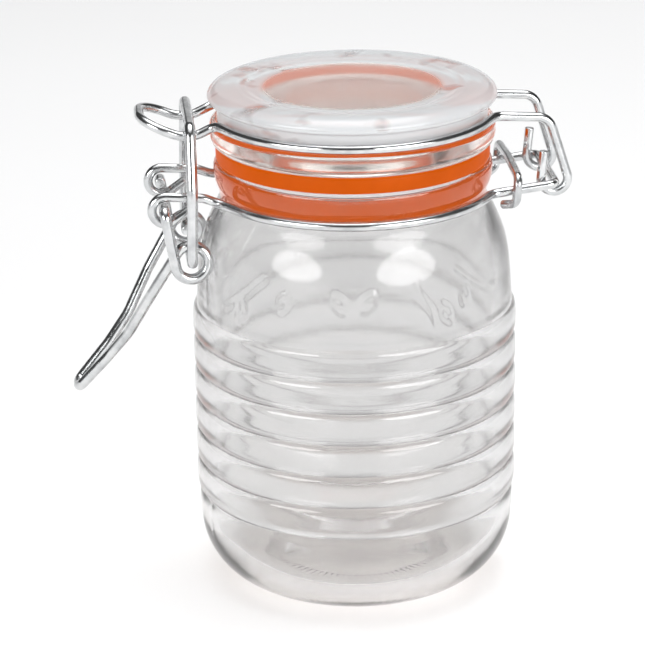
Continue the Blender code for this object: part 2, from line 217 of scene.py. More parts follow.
class Nodes:
    """Short calls that add nodes to one material."""

    def __init__(self, name):
        self.material = bpy.data.materials.new(name)
        self.material.use_nodes = True
        self.tree = self.material.node_tree
        self.shader = self.tree.nodes["Principled BSDF"]

    def add(self, kind, **settings):
        node = self.tree.nodes.new(kind)
        for key, value in settings.items():
            setattr(node, key, value)
        return node

    def link(self, output, target):
        self.tree.links.new(output, target)

    def place(self, stretch=(1.0, 1.0, 1.0), output="Object"):
        """Object or UV coordinates, stretched."""
        coordinates = self.add("ShaderNodeTexCoord")
        mapping = self.add("ShaderNodeMapping")
        mapping.inputs["Scale"].default_value = stretch
        self.link(coordinates.outputs[output], mapping.inputs["Vector"])
        return mapping.outputs["Vector"]

    def noise(self, vector, scale, detail=3.0, roughness=0.5, distortion=0.0):
        node = self.add("ShaderNodeTexNoise")
        node.inputs["Scale"].default_value = scale
        node.inputs["Detail"].default_value = detail
        node.inputs["Roughness"].default_value = roughness
        node.inputs["Distortion"].default_value = distortion
        self.link(vector, node.inputs["Vector"])
        return node.outputs["Fac"]

    def ramp(self, value, *stops):
        """Grey or colour ramp; each stop is (position, colour)."""
        node = self.add("ShaderNodeValToRGB")
        elements = node.color_ramp.elements
        while len(elements) < len(stops):
            elements.new(0.5)
        for element, (position, color) in zip(elements, stops):
            element.position = position
            element.color = (*color, 1.0) if isinstance(color, tuple) else (color, color, color, 1.0)
        self.link(value, node.inputs["Fac"])
        return node.outputs["Color"]

    def zone(self, scale, low, high):
        """0 to 1 as the length of the scaled object coordinates passes from low to high."""
        length = self.add("ShaderNodeVectorMath", operation="LENGTH")
        self.link(self.place(scale), length.inputs[0])
        step = self.add("ShaderNodeMapRange", interpolation_type="SMOOTHSTEP")
        step.inputs["From Min"].default_value = low
        step.inputs["From Max"].default_value = high
        self.link(length.outputs["Value"], step.inputs["Value"])
        return step.outputs["Result"]

    def both(self, first, second):
        node = self.add("ShaderNodeMath", operation="MULTIPLY")
        self.link(first, node.inputs[0])
        self.link(second, node.inputs[1])
        return node.outputs["Value"]

    def blend(self, share, inner, outer):
        """inner where the share is 0, outer where it is 1; each a number, a colour or a link."""
        colored = isinstance(outer, tuple)
        node = self.add("ShaderNodeMix", data_type="RGBA" if colored else "FLOAT")
        sockets = [socket for socket in node.inputs if socket.enabled]
        self.link(share, sockets[0])
        for socket, value in zip(sockets[1:], (inner, outer)):
            if isinstance(value, bpy.types.NodeSocket):
                self.link(value, socket)
            else:
                socket.default_value = (*value, 1.0) if isinstance(value, tuple) else value
        return [socket for socket in node.outputs if socket.enabled][0]

    def bump(self, height, distance, strength=1.0, normal=None):
        node = self.add("ShaderNodeBump")
        node.inputs["Strength"].default_value = strength
        node.inputs["Distance"].default_value = distance
        self.link(height, node.inputs["Height"])
        if normal is not None:
            self.link(normal, node.inputs["Normal"])
        return node.outputs["Normal"]

    def let_lamps_through(self, color):
        """Lamps shine through the glass, tinted, so that it doesn't cast an opaque shadow."""
        path = self.add("ShaderNodeLightPath")
        clear = self.add("ShaderNodeBsdfTransparent")
        clear.inputs["Color"].default_value = (*color, 1.0)
        mix = self.add("ShaderNodeMixShader")
        self.link(path.outputs["Is Shadow Ray"], mix.inputs["Fac"])
        self.link(self.shader.outputs["BSDF"], mix.inputs[1])
        self.link(clear.outputs["BSDF"], mix.inputs[2])
        self.link(mix.outputs["Shader"], self.tree.nodes["Material Output"].inputs["Surface"])

    def set(self, **sockets):
        """Values or links on the shader's sockets; underscores in names stand for spaces."""
        for key, value in sockets.items():
            socket = self.shader.inputs[key.replace("_", " ")]
            if isinstance(value, bpy.types.NodeSocket):
                self.link(value, socket)
            else:
                socket.default_value = value


def glass_base(name, clear, dull, haze):
    """Moulded soda-lime glass: faint grey streaks, uneven polish, a soft wavy skin.

    Returns the nodes and the links that the pieces vary: colour, roughness and the streak noise.
    """
    nodes = Nodes(name)
    lying = nodes.place((1.0, 1.0, 3.5))
    streaks = nodes.noise(lying, 70.0, detail=3.0, distortion=0.6)
    skin = nodes.noise(lying, 240.0, detail=2.0, roughness=0.55)
    bloom = nodes.noise(nodes.place(), 900.0, detail=4.0, roughness=0.6)
    nodes.set(
        IOR=1.51,
        Specular_IOR_Level=0.35,
        Normal=nodes.bump(skin, 0.02 * MM, 0.5),
    )
    nodes.let_lamps_through(LAMP_TINT)
    color = nodes.ramp(streaks, (0.25, dull), (0.75, clear))
    return nodes, color, nodes.ramp(bloom, (0.30, 0.6 * haze), (0.75, haze)), streaks


def jar_material():
    """The wall is hazy from the mould, the thick base less so; the finish is fire-polished and clear."""
    clear, dull = (0.815, 0.812, 0.810), (0.775, 0.775, 0.775)
    nodes, color, haze, streaks = glass_base("moulded_jar_glass", clear, dull, 0.14)
    finish = nodes.zone((0.0, 0.0, 1.0), NECK_Z - 1.5 * MM, NECK_Z + 0.5 * MM)
    wall = nodes.zone((0.0, 0.0, 1.0), INNER_CORNER_Z - 2.0 * MM, INNER_CORNER_Z + 3.0 * MM)
    nodes.set(
        Base_Color=nodes.blend(finish, color, (0.93, 0.93, 0.93)),
        Roughness=nodes.blend(finish, nodes.blend(wall, 0.05, haze), 0.015),
        Transmission_Weight=nodes.ramp(streaks, (0.2, 0.99), (0.8, 1.0)),
    )
    return nodes.material


def lid_material():
    """The dish is milky and rough, the flange and the groove are frosted in patches, the rest is clear."""
    clear, dull = (0.950, 0.920, 0.870), (0.910, 0.885, 0.845)
    nodes, color, haze, streaks = glass_base("moulded_lid_glass", clear, dull, 0.17)
    ring = nodes.zone((1.0, 1.0, 0.0), LID_DISH_RADIUS - 2.8 * MM, LID_DISH_RADIUS - 0.8 * MM)
    high = nodes.zone((0.0, 0.0, 1.0), LID_SKIRT_TOP_Z, LID_SKIRT_TOP_Z + 0.8 * MM)
    frosted = nodes.both(ring, high)
    patches = nodes.noise(nodes.place((1.0, 1.0, 1.5)), 120.0, detail=2.0, distortion=0.15)
    dish = nodes.ramp(streaks, (0.2, 0.80), (0.8, 0.94))
    flange = nodes.ramp(patches, (0.56, 0.26), (0.72, 0.90))
    nodes.set(
        Base_Color=nodes.blend(frosted, color, (0.63, 0.655, 0.67)),
        Roughness=nodes.blend(frosted, nodes.blend(high, haze, 0.30), 0.15),
        Transmission_Weight=nodes.blend(frosted, nodes.blend(high, 1.0, dish), flange),
    )
    return nodes.material


def rubber_material():
    """Dyed gasket rubber: saturated orange, faint mottling, fine mould grain and dust specks. Its emission
    is a painted orange glow that stands in for light passing through the rubber.
    """
    nodes = Nodes("orange_gasket_rubber_with_painted_glow")
    even = nodes.place()
    mottle = nodes.noise(even, 160.0, detail=4.0)
    grain = nodes.noise(even, 2600.0, detail=3.0, roughness=0.7)
    color = nodes.ramp(mottle, (0.30, (0.08, 0.011, 0.0001)), (0.55, (0.12, 0.017, 0.0001)),
                       (0.80, (0.17, 0.025, 0.0002)))
    nodes.set(
        Base_Color=color,
        Roughness=nodes.ramp(grain, (0.3, 0.38), (0.8, 0.55)),
        Subsurface_Weight=0.12,
        Subsurface_Radius=(1.0, 0.35, 0.05),
        Subsurface_Scale=0.6 * MM,
        Specular_IOR_Level=0.08,
        # painted glow: the rubber gives off orange light of its own, standing in for light that passes
        # through it; the base colour is kept dark so that this glow carries most of the orange
        Emission_Color=(1.0, 0.150, 0.0, 1.0),
        Emission_Strength=0.52,
        Normal=nodes.bump(grain, 0.03 * MM, 0.5),
    )
    return nodes.material


def steel_material(name, seed):
    """Bright zinc plating on drawn wire: long draw marks, cloudy dull patches, tiny pits."""
    nodes = Nodes(name)
    along = nodes.place((3.0, 160.0, 1.0), "UV")
    even = nodes.place()
    marks = nodes.noise(along, 2.0 + seed, detail=5.0, roughness=0.65)
    cloud = nodes.noise(even, 260.0 + 17.0 * seed, detail=4.0, roughness=0.6)
    pits = nodes.noise(even, 2200.0, detail=2.0, roughness=0.8)
    color = nodes.ramp(cloud, (0.30, (0.46, 0.47, 0.48)), (0.55, (0.64, 0.65, 0.655)),
                       (0.80, (0.78, 0.785, 0.78)))
    wear = nodes.ramp(cloud, (0.35, 0.27), (0.70, 0.09))
    first = nodes.bump(marks, 0.020 * MM, 0.25)
    nodes.set(
        Base_Color=color,
        Metallic=1.0,
        Roughness=wear,
        Normal=nodes.bump(pits, 0.015 * MM, 0.30, first),
    )
    return nodes.material


def floor_material():
    """Matt studio paper with a very slight tooth."""
    nodes = Nodes("studio_paper")
    even = nodes.place()
    tooth = nodes.noise(even, 400.0, detail=4.0)
    cast = nodes.noise(even, 2.5, detail=2.0)
    nodes.set(
        Base_Color=nodes.ramp(cast, (0.3, 0.90), (0.7, 0.93)),
        Roughness=0.85,
        Specular_IOR_Level=0.1,
        Normal=nodes.bump(tooth, 0.02 * MM, 0.2),
    )
    return nodes.material


# ---------------------------------------------------------------- turned pieces

def corner_arc(corner, radii, start, end, steps):
    """(radius, z) points that round off a corner, from angle start to angle end in degrees."""
    middle = radians((start + end) / 2)
    centre_r = corner[0] - copysign(radii[0], cos(middle))
    centre_z = corner[1] - copysign(radii[1], sin(middle))
    points = []
    for i in range(steps + 1):
        angle = radians(start + (end - start) * i / steps)
        points.append((centre_r + radii[0] * cos(angle), centre_z + radii[1] * sin(angle)))
    return points


def straight(start, end, steps):
    """(radius, z) points between two points, without the last one."""
    return [(start[0] + (end[0] - start[0]) * i / steps, start[1] + (end[1] - start[1]) * i / steps)
            for i in range(steps)]


def smooth_through(points, steps):
    """A Catmull-Rom curve through (radius, z) points, without the last one."""
    padded = [points[0]] + points + [points[-1]]
    curve = []
    for i in range(len(points) - 1):
        p0, p1, p2, p3 = padded[i:i + 4]
        for k in range(steps):
            t = k / steps
            curve.append(tuple(
                0.5 * (2 * b + (c - a) * t + (2 * a - 5 * b + 4 * c - d) * t * t
                       + (3 * b - a - 3 * c + d) * t ** 3)
                for a, b, c, d in zip(p0, p1, p2, p3)))
    return curve


def soft_curve(points, steps):
    """A cubic B-spline from the first (radius, z) point to the last, without the last one.

    Its curvature has no jumps, so that the glass shows no lines where one stretch meets the next.
    """
    padded = points[:1] * 2 + points + points[-1:] * 2
    curve = []
    for i in range(len(padded) - 3):
        for k in range(steps):
            t = k / steps
            weights = ((1 - t) ** 3, 3 * t ** 3 - 6 * t * t + 4, -3 * t ** 3 + 3 * t * t + 3 * t + 1, t ** 3)
            near = padded[i:i + 4]
            curve.append(tuple(sum(w * p[axis] for w, p in zip(weights, near)) / 6 for axis in (0, 1)))
    return curve


def even_angles(steps):
    return np.arange(steps) * (2 * pi / steps)


def turned_grid(profile, angles):
    """Radius and height of every point, one row for each profile point."""
    outline = np.array(profile)
    return (np.repeat(outline[:, :1], len(angles), axis=1),
            np.repeat(outline[:, 1:], len(angles), axis=1))


def mesh_from_grid(name, radius, height, angles, closed=False):
    """A turned mesh. Rows whose radius is 0 close on the axis in one point."""
    rows, columns = radius.shape
    x, y = radius * np.sin(angles), -radius * np.cos(angles)
    grid = np.stack([x, y, height], axis=-1)
    points, index = [], np.zeros((rows, columns), int)
    for r in range(rows):
        if np.all(radius[r] < 1e-9):
            index[r] = len(points)
            points.append((0.0, 0.0, float(height[r, 0])))
        else:
            index[r] = np.arange(len(points), len(points) + columns)
            points.extend(map(tuple, grid[r]))
    faces = []
    for r in range(rows if closed else rows - 1):
        here, there = index[r], index[(r + 1) % rows]
        for c in range(columns):
            d = (c + 1) % columns
            corners = [here[c], there[c], there[d], here[d]]
            faces.append(list(dict.fromkeys(int(i) for i in corners)))
    mesh = bpy.data.meshes.new(name)
    mesh.from_pydata(points, [], faces)
    mesh.validate()
    mesh.shade_smooth()
    obj = bpy.data.objects.new(name, mesh)
    bpy.context.scene.collection.objects.link(obj)
    return obj


def bump_between(values, low, high, soft):
    """1 between low and high, falling smoothly to 0 over soft on either side."""
    rise = np.clip((values - low) / soft, 0.0, 1.0)
    fall = np.clip((high - values) / soft, 0.0, 1.0)
    both = np.minimum(rise, fall)
    return both * both * (3 - 2 * both)


# ---------------------------------------------------------------- glass jar

def jar_inner_profile():
    """From the centre of the floor up the inner wall to the mouth."""
    floor = straight((0.0, FLOOR_Z + FLOOR_CROWN), (FLOOR_FLAT_RADIUS, FLOOR_Z), 5)
    corner = corner_arc((INNER_RADIUS, FLOOR_Z),
                        (INNER_RADIUS - FLOOR_FLAT_RADIUS, INNER_CORNER_Z - FLOOR_Z), -90, 0, 12)
    wall = straight((INNER_RADIUS, INNER_WALL_Z), (INNER_RADIUS, THROAT[0][1] * MM), 14)
    throat = soft_curve(in_metres(THROAT), 3)
    mouth = [(MOUTH_RADIUS, THROAT[-1][1] * MM), (MOUTH_RADIUS, JAR_RIM_Z - LIP_ROUND)]
    return floor + corner + wall + throat + mouth


def jar_rim_profile():
    """From the mouth over the lip and the flat rim, and round the bead to the neck."""
    lip = corner_arc((MOUTH_RADIUS, JAR_RIM_Z), (LIP_ROUND, LIP_ROUND), 180, 90, 5)[1:]
    flat = straight((MOUTH_RADIUS + RIM_INSET, JAR_RIM_Z), (FINISH_RADIUS - RIM_INSET, JAR_RIM_Z), 3)
    corner = corner_arc((FINISH_RADIUS, JAR_RIM_Z), BEAD_CORNER, 90, 0, 9)
    bead_foot = (FINISH_RADIUS, JAR_RIM_Z - BEAD_CORNER[1] - BEAD_ROUND[1])
    under = corner_arc(bead_foot, BEAD_ROUND, 0, BEAD_ROUND_END, 12)[1:]
    return lip + flat + corner + under


def jar_outer_profile():
    """From the neck down over the shoulder, ribs and heel to the centre of the base."""
    shoulder = soft_curve(in_metres(SHOULDER), 5)
    ribs = []
    for rib in reversed(range(RIB_COUNT)):
        crest_z = LOWEST_RIB_Z + RIB_PITCH * rib
        for i in range(RIB_SEGMENTS):
            t = cos(pi * i / RIB_SEGMENTS)
            bulge = (RIB_RADIUS - RIB_VALLEY_RADIUS) * (1.0 - abs(t) ** RIB_POWER)
            ribs.append((RIB_VALLEY_RADIUS + bulge, crest_z + t * RIB_PITCH / 2))
    under = smooth_through([(RIB_VALLEY_RADIUS, LOWEST_RIB_Z - RIB_PITCH / 2), *in_metres(UNDER_RIB),
                            (LOWER_WALL_RADIUS, HEEL_HEIGHT)], 4)
    heel = corner_arc((LOWER_WALL_RADIUS, 0.0), (LOWER_WALL_RADIUS - BASE_RADIUS, HEEL_HEIGHT), 0, -90, 26)
    bearing = straight((BASE_RADIUS - BEARING_INSET, 0.0), (PUSH_UP_RADIUS, 0.0), 8)
    push_up = []
    for i in range(PUSH_UP_STEPS):
        t = 1.0 - i / PUSH_UP_STEPS
        push_up.append((PUSH_UP_RADIUS * t, PUSH_UP_HEIGHT * (1.0 - t ** 4)))
    return shoulder + ribs + under + heel + bearing + push_up + [(0.0, PUSH_UP_HEIGHT)]


def stroke(*points):
    """A smooth raised stroke through (angle in degrees, z in mm) points on the jar's front."""
    return smooth_through(list(points), 6) + [points[-1]]


def leaf(angle, z, lean, length):
    """Outline of one small leaf with a mid-rib; lean in degrees from upright."""
    sideways, upward = sin(radians(lean)), cos(radians(lean))
    tip = (angle + 2.0 * length * sideways, z + length * upward)
    middle = (angle + length * sideways, z + 0.5 * length * upward)
    width = 0.22 * length
    left = (middle[0] - 2.0 * width * upward, middle[1] + width * sideways)
    right = (middle[0] + 2.0 * width * upward, middle[1] - width * sideways)
    return [stroke((angle, z), left, tip), stroke((angle, z), right, tip)]


def garland_strokes():
    """A plain leafy garland: sprigs to both sides and a little spray at the front."""
    strokes = [
        stroke((-60, 58.0), (-50, 61.0), (-40, 65.5)),
        stroke((24, 56.5), (22, 60.0), (18, 63.5), (17, 66.0)),
        stroke((34, 66.5), (40, 64.0), (48, 61.5), (56, 61.0)),
    ]
    for angle, z, lean, length in (
            (-52, 57.0, 30, 4.0), (-33, 60.0, 15, 3.6), (-10, 60.5, -20, 3.6), (-3, 60.8, 30, 3.8),
            (30, 57.2, -25, 4.0), (36, 59.5, 20, 3.4)):
        strokes += leaf(angle, z, lean, length)
    return strokes


def relief(angles_deg, z_mm, strokes):
    """Height share (0 to 1) of the raised strokes at each (angle, z), on the unrolled wall."""
    arc = radians(1.0) * UPPER_WALL_RADIUS / MM
    u, v = angles_deg * arc, z_mm
    nearest = np.full(u.shape, 1e9)
    for line in strokes:
        for (a0, z0), (a1, z1) in zip(line, line[1:]):
            x0, y0, dx, dy = a0 * arc, z0, (a1 - a0) * arc, z1 - z0
            t = np.clip(((u - x0) * dx + (v - y0) * dy) / (dx * dx + dy * dy + 1e-9), 0.0, 1.0)
            nearest = np.minimum(nearest, (u - x0 - t * dx) ** 2 + (v - y0 - t * dy) ** 2)
    share = np.clip(1.0 - nearest / RELIEF_HALF_WIDTH ** 2, 0.0, 1.0)
    return share ** 1.5


def waviness(radius, height, angles, size, stretch, seed):
    """Smooth noise over the surface, from -1 to 1, stretched round the jar."""
    x, y = radius * np.sin(angles), -radius * np.cos(angles)
    values = np.zeros(radius.shape)
    for r in range(radius.shape[0]):
        for c in range(radius.shape[1]):
            values[r, c] = noise.noise(Vector((x[r, c] / size / stretch + seed, y[r, c] / size / stretch,
                                               height[r, c] / size)))
    return values


def build_jar(material):
    inner = jar_inner_profile()
    rim = jar_rim_profile()
    outer = jar_outer_profile()
    angles = even_angles(JAR_COLUMNS)
    radius, height = turned_grid(inner + rim + outer, angles)
    first_outer = len(inner) + len(rim)
    degrees_round = (np.degrees(angles) + 180.0) % 360.0 - 180.0

    out_r, out_z = radius[first_outer:], height[first_outer:]
    band = (out_z[:, 0] > RELIEF_LOW_Z) & (out_z[:, 0] < RELIEF_HIGH_Z)
    around, upward = np.meshgrid(degrees_round, out_z[band, 0] / MM)
    out_r[band] += RELIEF_HEIGHT * relief(around, upward, garland_strokes())

    flat = out_z[:, 0] < 1e-9
    knurled = bump_between(out_r[flat], PUSH_UP_RADIUS, BASE_RADIUS, KNURL_FADE)
    out_z[flat] += KNURL_DEPTH * knurled * (0.5 - 0.5 * np.cos(KNURL_TEETH * angles))

    seam = np.abs(np.cos(angles - radians(SEAM_ANGLE))) ** SEAM_SHARPNESS
    tall = bump_between(out_z, SEAM_LOW_Z, SEAM_HIGH_Z, 2.0 * MM) * (out_r > BASE_RADIUS)
    out_r += SEAM_HEIGHT * seam * tall

    in_r, in_z = radius[:len(inner)], height[:len(inner)]
    calm = bump_between(in_z, FLOOR_Z + 0.5 * MM, INNER_WAVE_HIGH_Z, 6.0 * MM)
    in_r += INNER_WAVE_HEIGHT * calm * waviness(in_r, in_z, angles, INNER_WAVE_SIZE, 2.2, 3.7)
    jar = mesh_from_grid("jar_glass", radius, height, angles)
    jar.data.materials.append(material)
    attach(jar, "jar")
    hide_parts("glass_jar")


# ---------------------------------------------------------------- gasket and lid

def gasket_profile():
    """Once round the ring's section, from its top outer edge down and back over the hole."""
    low, high = GASKET_LOW.z - GASKET_SPREAD, GASKET_HIGH.z + GASKET_SPREAD
    middle, belly_r = (low + high) / 2, GASKET_RADIUS + GASKET_BELLY
    crown_r = GASKET_RADIUS - GASKET_CROWN_WIDTH
    edge, hole_edge = (GASKET_EDGE, GASKET_EDGE), (GASKET_HOLE_EDGE, GASKET_HOLE_EDGE)
    outer = corner_arc((GASKET_RADIUS, high - GASKET_CROWN), edge, 90, 0, 6)
    outer += [(belly_r, middle + GASKET_BELLY_HALF_HEIGHT), (belly_r, middle - GASKET_BELLY_HALF_HEIGHT)]
    outer += corner_arc((GASKET_RADIUS, low), edge, 0, -90, 6)
    under = straight((GASKET_RADIUS - GASKET_EDGE - GASKET_FLAT_INSET, low),
                     (GASKET_HOLE_RADIUS + GASKET_HOLE_EDGE, low), 3)
    hole = corner_arc((GASKET_HOLE_RADIUS, low), hole_edge, -90, -180, 4)
    hole += corner_arc((GASKET_HOLE_RADIUS, high), hole_edge, 180, 90, 4)
    top = straight((GASKET_HOLE_RADIUS + GASKET_EDGE, high), (crown_r, high), 4)
    top += straight((crown_r, high), (GASKET_RADIUS - GASKET_EDGE, high - GASKET_CROWN), 3)
    return outer + under + hole + top


def build_gasket(material):
    angles = even_angles(256)
    radius, height = turned_grid(gasket_profile(), angles)
    ring = mesh_from_grid("gasket_ring", radius, height, angles, closed=True)
    ring.data.materials.append(material)
    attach(ring, "lid")
    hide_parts("gasket")


def lid_profile():
    """From the centre of the dish over the flange, groove and skirt to the plug's hollow."""
    mark = []
    for i in range(MARK_STEPS):
        r = MARK_FIELD_RADIUS * i / MARK_STEPS
        lift = MARK_HEIGHT * max(0.0, 1.0 - ((r - MARK_RADIUS) / MARK_HALF_WIDTH) ** 2)
        mark.append((r, LID_DISH_Z + lift))
    dish = straight((MARK_FIELD_RADIUS, LID_DISH_Z), (DISH_SLOPE[0][0] * MM, LID_DISH_Z), 6)
    slope = smooth_through(in_metres(DISH_SLOPE), 4)
    flange = corner_arc((LID_FLANGE_RADIUS, LID_TOP_Z), FLANGE_TOP_ROUND, 90, 0, 12)
    flange += corner_arc((LID_FLANGE_RADIUS, LID_FLANGE_BOTTOM_Z), FLANGE_UNDER_ROUND, 0, -90, 7)
    groove = corner_arc((LID_GROOVE_RADIUS, LID_FLANGE_BOTTOM_Z), GROOVE_TOP_ROUND, 90, 180, 5)
    groove += corner_arc((LID_GROOVE_RADIUS, LID_SKIRT_TOP_Z), GROOVE_FOOT_ROUND, 180, 270, 5)
    skirt = corner_arc((LID_SKIRT_RADIUS, LID_SKIRT_TOP_Z), SKIRT_TOP_ROUND, 90, 0, 6)
    skirt += corner_arc((LID_SKIRT_RADIUS, LID_SEAT_Z), SKIRT_UNDER_ROUND, 0, -90, 9)
    seat = straight((LID_SKIRT_RADIUS - SEAT_INSET, LID_SEAT_Z),
                    (PLUG_RADIUS + PLUG_NECK_ROUND[0], LID_SEAT_Z), 4)
    plug = corner_arc((PLUG_RADIUS, LID_SEAT_Z), PLUG_NECK_ROUND, 90, 180, 4)
    plug += corner_arc((PLUG_RADIUS, PLUG_BOTTOM_Z), PLUG_EDGE_ROUND, 0, -90, 6)
    plug += corner_arc((PLUG_HOLLOW_RADIUS, PLUG_BOTTOM_Z), PLUG_EDGE_ROUND, -90, -175, 6)
    hollow = corner_arc((PLUG_HOLLOW_TOP_RADIUS, PLUG_HOLLOW_Z), HOLLOW_ROUND, 4, 90, 8)
    hollow += straight((PLUG_HOLLOW_FLAT_RADIUS, PLUG_HOLLOW_Z), (0.0, PLUG_HOLLOW_Z), 6)
    return mark + dish + slope + flange + groove + skirt + seat + plug + hollow + [(0.0, PLUG_HOLLOW_Z)]


def build_lid(material):
    angles = even_angles(288)
    radius, height = turned_grid(lid_profile(), angles)
    top = bump_between(height, LID_DISH_Z - 0.1 * MM, LID_TOP_Z + 1.0 * MM, 0.05 * MM)
    inside = (radius > 1e-9) & (radius < LID_FLANGE_RADIUS - DENT_EDGE_WIDTH)
    dents = 0.5 + 0.5 * waviness(radius, height, angles, DENT_SIZE, 1.0, 8.1)
    height -= DENT_DEPTH * top * inside * dents
    lid = mesh_from_grid("lid_glass", radius, height, angles)
    lid.data.materials.append(material)
    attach(lid, "lid")
    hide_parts("glass_lid")


# ---------------------------------------------------------------- wires

def bent_path(corners, step=ARC_STEP):
    """A path through the corners, each (point, bend radius); the bends are round arcs."""
    path = [corners[0][0]]
    for i in range(1, len(corners) - 1):
        before, (corner, bend), after = corners[i - 1][0], corners[i], corners[i + 1][0]
        inward = (before - corner).normalized()
        outward = (after - corner).normalized()
        half = inward.angle(outward) / 2
        turn = pi - 2 * half
        if bend == 0.0 or turn < 0.01:
            path.append(corner)
            continue
        centre = corner + (inward + outward).normalized() * (bend / sin(half))
        first = corner + inward * (bend / (sin(half) / cos(half)))
        across = (first - centre).normalized()
        along = -inward
        count = max(2, round(turn / step + 0.5))
        for k in range(count + 1):
            angle = turn * k / count
            path.append(centre + bend * (across * cos(angle) + along * sin(angle)))
    path.append(corners[-1][0])
    return path


def mirrored_path(half):
    """The half path on the -y side, run on through its first point into its mirror image."""
    mirror = [Vector((p.x, -p.y, p.z)) for p in half]
    if abs(half[0].y) < 1e-9:
        mirror = mirror[1:]
    return list(reversed(mirror)) + half


def ring_point(z, angle):
    """A point of a wire ring about Z, by its angle from -X towards -Y, in degrees."""
    a = radians(angle)
    return Vector((-WIRE_RING_RADIUS * cos(a), -WIRE_RING_RADIUS * sin(a), z))


def ring_arc(z, start, end):
    count = round(radians(abs(end - start)) / RING_STEP)
    return [ring_point(z, start + (end - start) * i / count) for i in range(count + 1)]


def ring_exit(z, angle, y):
    """Where the ring's tangent at this angle crosses the line of an arm at -y."""
    a = radians(angle)
    point = ring_point(z, angle)
    side = 1.0 if angle < 90 else -1.0
    tangent = Vector((-sin(a), cos(a), 0.0)) * side
    return point + tangent * ((-y - point.y) / tangent.y)


def tangent_angle(centre, radius, point, side):
    """Angle of the spot on a circle where the line to the outside point touches it."""
    dx, dz = point[0] - centre[0], point[1] - centre[1]
    return (atan2(dz, dx) + side * acos(radius / hypot(dx, dz))) % (2 * pi)


def arc_in_xz(centre, radius, start, end, y_start, y_end, step=ARC_STEP):
    """Points of an arc in an x-z plane that may drift in y, angles in radians."""
    count = max(2, round(abs(end - start) / step))
    points = []
    for i in range(count + 1):
        t = i / count
        angle = start + (end - start) * t
        points.append(Vector((centre[0] + radius * cos(angle), y_start + (y_end - y_start) * t,
                              centre[1] + radius * sin(angle))))
    return points


def lid_wire_path():
    """Half of the lid wire: nose loop, round the lid, hinge arm and the hook on its end."""
    nose_exit = ring_exit(LID_RING_Z, 26, 7.0 * MM)
    hinge_exit = ring_exit(LID_RING_Z, 152, 7.8 * MM)
    nose = bent_path([
        (mm(-38.7, 0.0, 90.8), 0.0),
        (mm(-38.7, -7.0, 90.8), 5.2 * MM),
        (mm(-31.8, -7.0, 88.0), 6.0 * MM),
        (mm(-28.6, -7.0, 88.1), 4.0 * MM),
        (nose_exit, 2.2 * MM),
        (ring_point(LID_RING_Z, 26), 0.0),
    ])
    ring = ring_arc(LID_RING_Z, 26, 152)
    hook_centre, hook_radius = (35.9 * MM, 77.6 * MM), 2.45 * MM
    shoulder = mm(34.8, -7.8, 89.1)
    start = tangent_angle(hook_centre, hook_radius, (shoulder.x, shoulder.z), -1)
    hook = arc_in_xz(hook_centre, hook_radius, start, radians(-186), -7.8 * MM, -7.8 * MM)
    tail = hook[-1] + mm(0.5, 0.0, 5.0)
    arm = bent_path([(ring[-1], 0.0), (hinge_exit, 2.4 * MM), (shoulder, 3.0 * MM), (hook[0], 0.0)])
    return nose[:-1] + ring + arm[1:] + hook[1:] + [tail]


def neck_wire_path():
    """Half of the neck wire: hinge bar, hinge arm, round the neck, latch arm and pin eye."""
    bar = Vector((HINGE_AXIS[0], 0.0, HINGE_AXIS[1]))
    corner = Vector((HINGE_AXIS[0], -9.8 * MM, HINGE_AXIS[1]))
    hinge_exit = ring_exit(NECK_RING_Z, 150, 9.8 * MM)
    latch_exit = ring_exit(NECK_RING_Z, 33, EYE_Y)
    ring = ring_arc(NECK_RING_Z, 150, 33)
    hinge_arm = bent_path([(bar, 0.0), (corner, 1.6 * MM), (hinge_exit, 2.6 * MM), (ring[0], 0.0)])
    eye_centre, eye_radius = (-34.7 * MM, 75.0 * MM), 2.5 * MM
    eye = arc_in_xz(eye_centre, eye_radius, radians(90), radians(305), -EYE_Y, -EYE_Y)
    tail = eye[-1] + mm(2.9, 0.0, 2.0)
    latch_arm = bent_path([(ring[-1], 0.0), (latch_exit, 3.4 * MM), (mm(-28.0, -9.2, 77.0), 3.0 * MM),
                           (eye[0], 0.0)])
    return hinge_arm[:-1] + ring + latch_arm[1:] + eye[1:] + [tail]


def tie_path():
    """Half of the short tie wire that hooks the neck wire's two hinge arms together."""
    return bent_path([
        (mm(28.8, 0.0, 79.6), 0.0),
        (mm(28.7, -11.8, 79.0), 1.7 * MM),
        (mm(28.3, -11.9, 74.3), 1.5 * MM),
        (mm(26.2, -9.6, 73.6), 0.0),
    ])


def link_path():
    """Half of the bail link: top bar, leg and the foot that turns in the lever's coil."""
    return bent_path([
        (mm(-30.0, 0.0, 90.15), 0.0),
        (mm(-30.0, -9.9, 90.15), 2.2 * MM),
        (mm(-30.1, -13.8, 79.5), 8.0 * MM),
        (Vector((LINK_AXIS[0], -13.8 * MM, LINK_AXIS[1])), 1.7 * MM),
        (Vector((LINK_AXIS[0], -6.6 * MM, LINK_AXIS[1])), 0.0),
    ])


